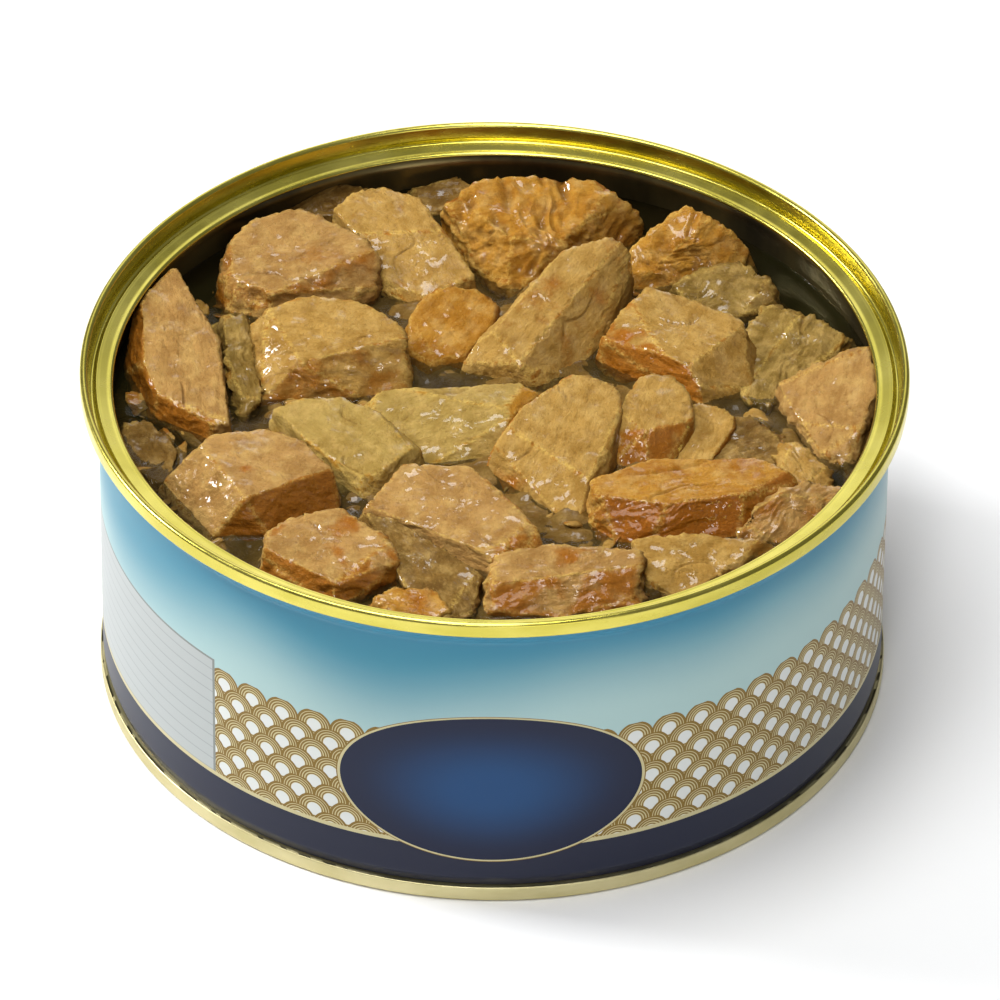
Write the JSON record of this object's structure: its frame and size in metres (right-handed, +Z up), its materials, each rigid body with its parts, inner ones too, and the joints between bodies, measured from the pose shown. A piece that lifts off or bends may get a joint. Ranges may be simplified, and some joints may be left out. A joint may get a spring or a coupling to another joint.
{
  "type": "opened tuna can",
  "caption": "Round opened can of tuna chunks in oil, with a blue printed steel body and gold lacquered seams.",
  "frame": {"origin": "centre of the base, on the ground", "axes": "+Z up along the can's axis, through its open end; -Y towards the front of the print"},
  "size_m": [0.1572, 0.1572, 0.069],
  "materials": {
    "print": "gloss",
    "gold": "satin",
    "oil": "gloss",
    "tuna": "satin"
  },
  "bodies": {
    "root": {"can_body": "print", "base_end": "gold", "top_ring": "gold", "oil": "oil", "tuna_bed": "tuna", "tuna_01": "tuna", "tuna_02": "tuna", "tuna_03": "tuna", "tuna_04": "tuna", "tuna_05": "tuna", "tuna_06": "tuna", "tuna_07": "tuna", "tuna_08": "tuna", "tuna_09": "tuna", "tuna_10": "tuna", "tuna_11": "tuna", "tuna_12": "tuna", "tuna_13": "tuna", "tuna_14": "tuna", "tuna_15": "tuna", "tuna_16": "tuna", "tuna_17": "tuna", "tuna_18": "tuna", "tuna_19": "tuna", "tuna_20": "tuna", "tuna_21": "tuna", "tuna_22": "tuna", "tuna_23": "tuna", "tuna_24": "tuna", "tuna_25": "tuna", "tuna_26": "tuna", "tuna_27": "tuna", "tuna_28": "tuna", "tuna_29": "tuna", "tuna_30": "tuna", "tuna_31": "tuna", "tuna_32": "tuna"}
  },
  "joints": []
}
